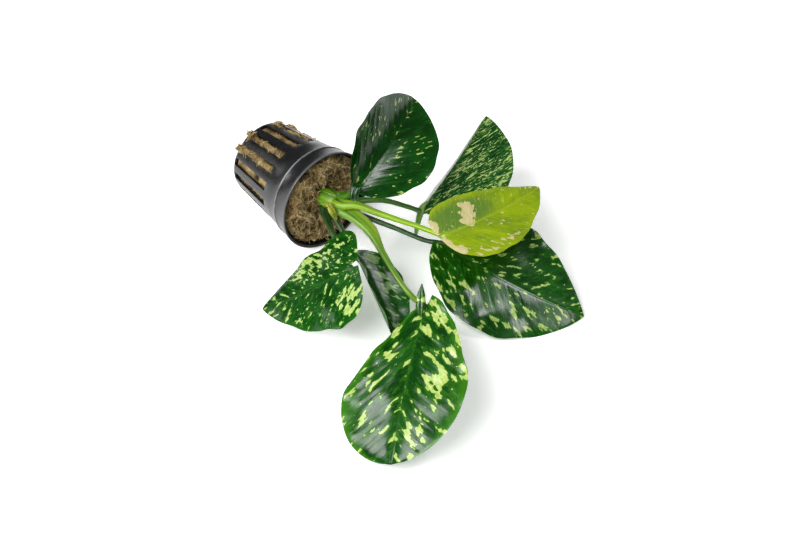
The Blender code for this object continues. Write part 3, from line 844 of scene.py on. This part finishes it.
def pot_profile():
    """(radius, depth) of the outer skin in mm, from the middle of the base to the lip."""
    # the base: a gate mark in the middle and two shallow moulded rings round it
    gate = POT_LENGTH - 0.5
    profile = [(0.0, POT_LENGTH), (1.1, POT_LENGTH), (1.3, gate), (3.2, gate), (3.5, POT_LENGTH)]
    for ring in (8.0, 14.0):
        profile += [(ring, POT_LENGTH), (ring + 0.15, gate), (ring + 0.9, gate), (ring + 1.05, POT_LENGTH)]
    profile.append((BASE_RADIUS - 0.6, POT_LENGTH))
    corner = 3.2
    for i in range(7):
        angle = math.radians(15.0 * i)
        radius = BASE_RADIUS + corner * math.sin(angle)
        profile.append((radius, POT_LENGTH - corner * (1.0 - math.cos(angle)) * 0.94))
    for depth in np.linspace(BODY_FOOT_DEPTH - 1.5, SLOT_START, 14):
        profile.append((body_radius(depth), depth))
    profile += [(body_radius(d), d) for d in (18.0, 15.0, COLLAR_DEPTH + 1.4)]
    profile.append((BODY_TOP_RADIUS + 0.10, COLLAR_DEPTH + 1.05))
    # the bead round the foot of the collar: how far out and how far down each point of it is
    for out, down in ((-0.16, 0.75), (0.14, 0.5), (0.22, 0.2), (0.14, -0.1), (-0.16, -0.4)):
        profile.append((COLLAR_FOOT_RADIUS + out, COLLAR_DEPTH + down))
    profile += [(COLLAR_FOOT_RADIUS + 0.35, 6.0), (27.0, 1.9), (27.25, 1.3), (LIP_RADIUS, 0.95)]
    profile += [(LIP_RADIUS, 0.35), (LIP_RADIUS - 0.12, 0.1), (LIP_RADIUS - 0.4, 0.0)]
    return profile


def lathe_points(profile, columns):
    angles = np.linspace(0, math.tau, columns + 1)
    angles[-1] = 0.0
    radius = np.array([r for r, d in profile])[:, None]
    depth = np.array([d for r, d in profile])[:, None] * np.ones((1, columns + 1))
    return np.stack((radius * np.cos(angles), radius * np.sin(angles), -depth), axis=-1) * MM


def new_tree(name, inputs):
    """A Geometry Nodes tree that takes a mesh and named inputs, and the sockets of what it is given."""
    tree = bpy.data.node_groups.new(name, "GeometryNodeTree")
    tree.interface.new_socket("Geometry", in_out="OUTPUT", socket_type="NodeSocketGeometry")
    for socket, kind in {"Geometry": "Geometry", **inputs, "Material": "Material"}.items():
        tree.interface.new_socket(socket, in_out="INPUT", socket_type="NodeSocket" + kind)
    return tree, add_node(tree, "NodeGroupInput", {}, {}, None).outputs


def finish_tree(tree, result, material):
    """Sets the material on what a tree has made, and gives that out."""
    dressed = add_node(tree, "GeometryNodeSetMaterial", {}, {"Geometry": result, "Material": material})
    add_node(tree, "NodeGroupOutput", {}, [dressed], None)
    return tree


def slot_tree():
    """Geometry Nodes: takes away the cells of a turned skin that lie in a ring of equal slots."""
    tree, given = new_tree("cut_slots", dict.fromkeys(
        ("Slot Count", "Slot Share", "First Slot", "Slot Top", "Slot Foot"), "Float"))
    position = add_node(tree, "GeometryNodeInputPosition", {}, {})
    x, y, z = add_node(tree, "ShaderNodeSeparateXYZ", {}, [position], None).outputs
    # how far round from the middle of the nearest slot a cell is, as a share of half the slots' pitch
    off = add_node(tree, "ShaderNodeMath", {"operation": "ARCTAN2"}, [y, x])
    for operation, number in (
        ("SUBTRACT", given["First Slot"]), ("MULTIPLY", given["Slot Count"]), ("MULTIPLY", 1.0 / math.tau),
        ("ADD", 0.5), ("FRACT", 0.0), ("SUBTRACT", 0.5), ("ABSOLUTE", 0.0), ("MULTIPLY", 2.0),
    ):
        off = add_node(tree, "ShaderNodeMath", {"operation": operation}, [off, number])
    gone = add_node(tree, "ShaderNodeMath", {"operation": "LESS_THAN"}, [off, given["Slot Share"]])
    for operation, end in (("LESS_THAN", given["Slot Top"]), ("GREATER_THAN", given["Slot Foot"])):
        within = add_node(tree, "ShaderNodeMath", {"operation": operation}, [z, end])
        gone = add_node(tree, "ShaderNodeMath", TIMES, [gone, within])
    cut = add_node(tree, "GeometryNodeDeleteGeometry", {"domain": "FACE"}, {
        "Geometry": given["Geometry"], "Selection": gone})
    whole = add_node(tree, "GeometryNodeRealizeInstances", {}, [cut])
    return finish_tree(tree, whole, given["Material"])


def run_tree(piece, tree, values):
    """Adds a Geometry Nodes modifier with its named inputs set."""
    modifier = piece.modifiers.new(tree.name, "NODES")
    modifier.node_group = tree
    for item in tree.interface.items_tree:
        if item.item_type == "SOCKET" and item.in_out == "INPUT" and item.name in values:
            modifier[item.identifier] = values[item.name]


def pot_plastic():
    """Injection-moulded black polypropylene: half gloss, fine moulding texture, scuffs, and a painted
    highlight along the collar's bead and the lip.
    """
    material, tree = new_material("black_polypropylene")
    place = add_node(tree, "ShaderNodeTexCoord", {}, {}, "Object")
    painted_highlight = add_node(tree, "ShaderNodeAttribute", {"attribute_name": "painted_highlight"}, {}, "Fac")
    grain = add_node(tree, "ShaderNodeTexNoise", {}, {
        "Vector": place, "Scale": 1.0 / (0.6 * MM), "Detail": 2.0})
    scuff = add_node(tree, "ShaderNodeTexNoise", {}, {
        "Vector": place, "Scale": 1.0 / (9.0 * MM), "Detail": 6.0, "Roughness": 0.7})
    dust = add_node(tree, "ShaderNodeMapRange", {}, [scuff, 0.5, 0.85, 0.0, 0.25])
    # painted highlight: light grey on the bead at the collar's foot and fainter on the lip, broken up by the
    # scuff noise
    highlight_breakup = add_node(tree, "ShaderNodeMapRange", EASED, [scuff, 0.35, 0.6, 0.55, 1.0])
    highlight_part = add_node(tree, "ShaderNodeMath", TIMES, [painted_highlight, highlight_breakup])
    dusted = add_node(tree, "ShaderNodeMix", COLOURS, {0: dust, 6: "#0A0A0B", 7: "#2A2826"}, 2)
    colour = add_node(tree, "ShaderNodeMix", COLOURS, {0: highlight_part, 6: dusted, 7: "#8C8D90"}, 2)
    rough = add_node(tree, "ShaderNodeMapRange", {}, [scuff, 0.3, 0.7, 0.22, 0.36])
    finish_material(tree, {"Base Color": colour, "Roughness": rough, "IOR": 1.49}, grain, 0.25, 0.05)
    return material


def make_net_pot():
    """The pot, cut out of a turned skin that then gets its wall and its rounded edges."""
    points = lathe_points(pot_profile(), SLOT_COUNT * CELLS_PER_SLOT)
    depth = -points[..., 2] / MM
    # painted highlight: where it lies, along the bead round the collar's foot and more faintly on the lip
    bead = np.exp(-((depth - COLLAR_DEPTH - 0.2) / 0.30) ** 2)
    lip = smoothstep(1.2, 0.4, depth)
    plastic = pot_plastic()
    mesh = grid_mesh("net_pot", points, None, {"painted_highlight": np.maximum(bead, 0.35 * lip)})
    pot = add_piece("net_pot_shell", mesh, [plastic])
    run_tree(pot, slot_tree(), {
        "Slot Count": float(SLOT_COUNT), "Slot Share": SLOT_SHARE, "First Slot": math.radians(SLOT_TURN),
        "Slot Top": -(SLOT_START + 0.4) * MM, "Slot Foot": -SLOT_END * MM, "Material": plastic})
    wall = pot.modifiers.new("wall", "SOLIDIFY")
    wall.thickness = POT_WALL * MM
    wall.offset = -1.0
    edges = pot.modifiers.new("edges", "BEVEL")
    edges.width = EDGE_ROUND * MM
    edges.segments = 2
    edges.limit_method = "ANGLE"
    edges.angle_limit = math.radians(50)
    baked(pot)
    pot.data.transform(pot_matrix())
    stand_for(pot, "net_pot")


# ---------------------------------------------------------------- mineral wool

def wool_fibre_skin(name, low, high):
    """Mineral wool: matt tan spun fibres, stained olive-brown by the plant's food and water."""
    material, tree = new_material(name)
    place = add_node(tree, "ShaderNodeTexCoord", {}, {}, "Object")
    stain = add_node(tree, "ShaderNodeTexNoise", {}, {
        "Vector": place, "Scale": 1.0 / (6.5 * MM), "Detail": 3.0, "Roughness": 0.55})
    fine = add_node(tree, "ShaderNodeTexNoise", {}, {
        "Vector": place, "Scale": 1.0 / (0.9 * MM), "Detail": 3.0, "Roughness": 0.7})
    both = add_node(tree, "ShaderNodeMath", TIMES_PLUS, [fine, 0.45, stain])
    tone = add_node(tree, "ShaderNodeMapRange", {}, [both, 0.55, 0.92])
    colour = add_node(tree, "ShaderNodeMix", COLOURS, {0: tone, 6: low, 7: high}, 2)
    finish_material(tree, {"Base Color": colour, "Roughness": 0.95, "IOR": 1.3}, fine, 0.8, 0.6)
    return material


# name, fibres per square metre, length, radius and curl in mm, seed, dark and light colour
WOOL_COATS = (
    ("rock_wool_fibres", 1.1e6, 5.0, 0.10, 2.0, 3, "#664F28", "#D0B074"),
    ("rock_wool_pale_fibres", 0.34e6, 8.5, 0.13, 3.6, 8, "#A48C5A", "#EAD8A8"),
)
WOOL_FACE_ROWS = 60
WOOL_BASE_ROWS = 12

# how full each slot is, and how far its wool sits to one side, in slot pitches
SLOT_FILL = (0.5, 0.6, 0.8, 0.85, 0.35, 0.8, 0.9, 0.2, 0.1, 0.4, 0.3, 0.1, 0.0, 0.2, 0.6, 0.7)
SLOT_SHIFT = (0.0, 0.03, 0.0, -0.02, -0.05, 0.0, 0.0, -0.06, -0.07, 0.04, 0.0, 0.05, 0.0, -0.04, 0.0, 0.03)
# torn tufts: slot, depth, how far they stand out, in mm
TUFTS = (
    (6, 49.0, 4.8), (5, 49.2, 4.0), (5, 36.0, 0.7), (3, 48.0, 2.0), (2, 46.0, 1.8), (3, 31.0, 0.8),
    (6, 33.0, 0.8),
)


def wool_body_points():
    """The plug: fills the pot, swells through the slots, and has a torn face with a pit for the crown."""
    columns, face_rows, side_rows, base_rows = 320, WOOL_FACE_ROWS, 110, WOOL_BASE_ROWS
    angles = np.linspace(0, math.tau, columns + 1)
    angles[-1] = 0.0
    face_radius = np.linspace(0.0, 1.0, face_rows)
    depths = np.concatenate((
        np.full(face_rows, WOOL_RECESS), np.linspace(WOOL_RECESS + 0.6, POT_LENGTH - 1.8, side_rows),
        np.full(base_rows, POT_LENGTH - 1.7)))
    inner = np.array([wool_radius(d) for d in depths])
    inner[:face_rows] = wool_radius(WOOL_RECESS) * face_radius
    inner[-base_rows:] = wool_radius(POT_LENGTH - 1.8) * np.linspace(1.0, 0.0, base_rows)
    depth = depths[:, None] * np.ones((1, columns + 1))
    radius = inner[:, None] * np.ones((1, columns + 1))
    pitch = (angles - math.radians(SLOT_TURN)) * SLOT_COUNT / math.tau
    number = np.round(pitch).astype(int) % SLOT_COUNT
    off = np.abs(pitch - np.round(pitch) - np.array(SLOT_SHIFT)[number])[None, :]
    ends = smoothstep(SLOT_START + 0.4, SLOT_START + 2.4, depth)
    ends = ends * smoothstep(SLOT_END - 0.6, SLOT_END - 2.2, depth)
    window = smoothstep(0.24, 0.15, off) * ends
    fill = np.array(SLOT_FILL)[number][None, :] * np.ones_like(depth)
    for slot, tuft_depth, height in TUFTS:
        near = np.exp(-((depth - tuft_depth) / 3.0) ** 2) * (number == slot)[None, :]
        fill = fill + near * height / (POT_WALL + 0.3)
    x = radius * np.cos(angles)
    y = radius * np.sin(angles)
    rough = lumps(x, y, depth, 7.0, 5) * 0.5 + lumps(x, y, depth, 2.6, 6) * 0.35
    swell = (POT_WALL + 0.3) * (fill + 0.45 * rough)
    radius = radius + window * swell - 1.1 * ends * (1.0 - window)
    on_face = (np.arange(len(depths)) < face_rows)[:, None]
    reach = np.concatenate((face_radius, np.ones(len(depths) - face_rows)))
    near_edge = smoothstep(0.80, 1.0, reach[:, None])
    clods = lumps(x, y, 0 * depth, 11.0, 31) * 1.4 - 2.6 * np.abs(lumps(x, y, 0 * depth, 9.0, 32)) + 1.0
    clods = clods - 1.8 * np.abs(lumps(x, y, 0 * depth, 4.6, 33)) + 0.8
    hump = 1.4 * (1.0 - near_edge) + 0.8 * rough + clods
    depth = depth - np.where(on_face, hump * (1.0 - 0.6 * near_edge), 0.0)
    x, y = radius * np.cos(angles), radius * np.sin(angles)
    points = np.stack((x, y, -depth), axis=-1)
    points = sink_pit(points, on_face)
    return points * MM


def wool_radius(depth):
    """Radius of the plug just inside the pot's wall, in mm."""
    if depth < COLLAR_DEPTH:
        return COLLAR_FOOT_RADIUS + 0.5 * (1.0 - depth / COLLAR_DEPTH) - POT_WALL - 0.3
    if depth < BODY_FOOT_DEPTH:
        return body_radius(max(depth, COLLAR_DEPTH + 1.0)) - POT_WALL - 0.25
    return BODY_FOOT_RADIUS - POT_WALL - 0.4 - 0.8 * (depth - BODY_FOOT_DEPTH)


def sink_pit(points, on_face):
    """Presses a ragged pit into the face where the crown comes out."""
    centre = pot_matrix().inverted() @ placed((-39.0, 44.5, 28.5))
    away = np.hypot(points[..., 0] - centre.x / MM, points[..., 1] - centre.y / MM)
    away = away + 1.5 * lumps(points[..., 0], points[..., 1], points[..., 2] * 0, 6.0, 12)
    deep = 9.0 * smoothstep(9.0, 5.2, away)
    points[..., 2] = points[..., 2] - np.where(on_face, deep, 0.0)
    return points


def fibre_tree():
    """Geometry Nodes: short bent fibres over a surface, thicker where it is fibrous, combed in swirls."""
    tree, given = new_tree("wool_fibres", {
        "Fibres per Square Metre": "Float", "Fibre Length": "Float", "Fibre Radius": "Float",
        "Curl": "Float", "Seed": "Int"})
    density = add_node(tree, "GeometryNodeInputNamedAttribute", {"data_type": "FLOAT"}, {"Name": "fibrous"})
    amount = add_node(tree, "ShaderNodeMath", TIMES, [density, given["Fibres per Square Metre"]])
    spread = add_node(tree, "GeometryNodeDistributePointsOnFaces", {}, {
        "Mesh": given["Geometry"], "Density": amount, "Seed": given["Seed"]}, None).outputs
    half = add_node(tree, "ShaderNodeMath", TIMES, [given["Fibre Length"], 0.5])
    less = add_node(tree, "ShaderNodeMath", TIMES, [half, -1.0])
    start, end = [add_node(tree, "ShaderNodeCombineXYZ", {}, [x]) for x in (less, half)]
    line = add_node(tree, "GeometryNodeCurvePrimitiveLine", {}, {"Start": start, "End": end})
    split = add_node(tree, "GeometryNodeResampleCurve", {}, {"Curve": line, "Count": 6})
    spin = add_node(tree, "FunctionNodeRandomValue", {"data_type": "FLOAT_VECTOR"}, {
        0: (-0.3, -0.3, -0.7), 1: (0.3, 0.3, 0.7), "Seed": given["Seed"]})
    flow = add_node(tree, "ShaderNodeTexNoise", {}, {"Scale": 1.0 / (9.0 * MM), "Detail": 1.0})
    heading = add_node(tree, "ShaderNodeMath", TIMES, [flow, 16.0])
    combed = add_node(tree, "ShaderNodeCombineXYZ", {}, {2: heading})
    laid = add_node(tree, "ShaderNodeVectorMath", {"operation": "ADD"}, [spin, combed])
    aligned = add_node(tree, "FunctionNodeAlignRotationToVector", {"axis": "Z"}, {
        "Vector": spread["Normal"]})
    turned = add_node(tree, "FunctionNodeRotateRotation", {"rotation_space": "LOCAL"}, [aligned, laid])
    size = add_node(tree, "FunctionNodeRandomValue", {"data_type": "FLOAT"}, {
        2: 0.45, 3: 1.35, "Seed": given["Seed"]}, 1)
    sized = add_node(tree, "ShaderNodeMath", TIMES, [size, density])
    put = add_node(tree, "GeometryNodeInstanceOnPoints", {}, {
        "Points": spread["Points"], "Instance": split, "Rotation": turned, "Scale": sized})
    real = add_node(tree, "GeometryNodeRealizeInstances", {}, [put])
    bend = add_node(tree, "ShaderNodeTexNoise", {}, {"Scale": 1.0 / (2.2 * MM), "Detail": 1.0}, "Color")
    centred = add_node(tree, "ShaderNodeVectorMath", {"operation": "SUBTRACT"}, [bend, (0.5, 0.5, 0.5)])
    moved = add_node(tree, "ShaderNodeVectorMath", {"operation": "SCALE"}, {
        0: centred, "Scale": given["Curl"]})
    bent = add_node(tree, "GeometryNodeSetPosition", {}, {"Geometry": real, "Offset": moved})
    ring = add_node(tree, "GeometryNodeCurvePrimitiveCircle", {}, {
        "Resolution": 3, "Radius": given["Fibre Radius"]})
    solid = add_node(tree, "GeometryNodeCurveToMesh", {}, {
        "Curve": bent, "Profile Curve": ring, "Fill Caps": True})
    return finish_tree(tree, solid, given["Material"])


def make_wool():
    """The plug, and two coats of fibres that grow from it."""
    points = wool_body_points()
    depth = -points[..., 2] / MM
    radius = np.hypot(points[..., 0], points[..., 1]) / MM
    on_face = (np.arange(points.shape[0]) < WOOL_FACE_ROWS)[:, None]
    inner = np.vectorize(wool_radius)(np.maximum(depth, WOOL_RECESS))
    proud = smoothstep(0.2, 0.9, radius - inner) * (depth > SLOT_START)
    torn = smoothstep(2.0, 3.6, radius - inner) * (depth > SLOT_START)
    at_rim = smoothstep(-4.0, -1.0, radius - wool_radius(WOOL_RECESS))
    fibrous = np.clip(on_face * (1.0 - 0.6 * at_rim) + 0.42 * proud + 0.35 * torn, 0, 1)
    mesh = grid_mesh("rock_wool", points[::-1], None, {"fibrous": fibrous[::-1]})
    mesh.transform(pot_matrix())
    plug = add_piece("rock_wool_plug", mesh, [wool_fibre_skin("mineral_wool", "#241B0D", "#9A8458")])
    tree = fibre_tree()
    for name, per_square, length, radius_mm, curl, seed, low, high in WOOL_COATS:
        skin = wool_fibre_skin(name, low, high)
        fibres = add_piece(name, plug.data.copy(), [skin])
        run_tree(fibres, tree, {
            "Fibres per Square Metre": per_square, "Fibre Length": length * MM,
            "Fibre Radius": radius_mm * MM, "Curl": curl * MM, "Seed": seed, "Material": skin})
        baked(fibres)
        fibres.data.materials.clear()
        fibres.data.materials.append(skin)
        stand_for(fibres, None)
    stand_for(plug, "rock_wool")


# ---------------------------------------------------------------- studio

def make_camera():
    data = bpy.data.cameras.new("camera")
    data.lens = CAMERA_LENS
    data.sensor_width = 36.0
    camera = bpy.data.objects.new("camera", data)
    bpy.context.scene.collection.objects.link(camera)
    rise = math.radians(CAMERA_ELEVATION)
    camera.location = CAMERA_AIM + Vector((0.0, -math.cos(rise), math.sin(rise))) * CAMERA_DISTANCE
    camera.rotation_euler = (CAMERA_AIM - camera.location).to_track_quat("-Z", "Y").to_euler()
    bpy.context.scene.camera = camera


def make_floor():
    material, tree = new_material("white_floor")
    finish_material(tree, {
        "Base Color": "#FDFDFD", "Roughness": 0.9, "Specular IOR Level": 0.1,
        "Emission Color": "#FFFFFF", "Emission Strength": 0.35})
    bm = bmesh.new()
    bmesh.ops.create_grid(bm, x_segments=1, y_segments=1, size=4.0)
    mesh = bpy.data.meshes.new("floor")
    bm.to_mesh(mesh)
    bm.free()
    floor = add_piece("floor", mesh, [material])


def make_softbox(name, heading, elevation, distance, side, radiance):
    """A square softbox aimed at the object."""
    turn, rise = math.radians(heading), math.radians(elevation)
    way = Vector((math.sin(turn) * math.cos(rise), math.cos(turn) * math.cos(rise), math.sin(rise)))
    data = bpy.data.lights.new(name, "AREA")
    data.shape = "SQUARE"
    data.size = side
    data.energy = radiance * math.pi * side * side
    light = bpy.data.objects.new(name, data)
    bpy.context.scene.collection.objects.link(light)
    light.location = LIGHT_AIM + way * distance
    light.rotation_euler = (-way).to_track_quat("-Z", "Y").to_euler()


def make_lights():
    world = bpy.data.worlds.new("studio")
    bpy.context.scene.world = world
    world.use_nodes = True
    background = world.node_tree.nodes["Background"]
    background.inputs["Color"].default_value = linear("#F4F6FA")
    background.inputs["Strength"].default_value = WORLD_STRENGTH
    for name, softbox in SOFTBOXES.items():
        make_softbox(name, *softbox)
    bpy.context.scene.view_settings.view_transform = "Standard"


def main():
    make_camera()
    make_floor()
    make_lights()
    make_net_pot()
    make_wool()
    make_crown()
    make_sheath()
    make_stalks()
    make_leaves()


main()
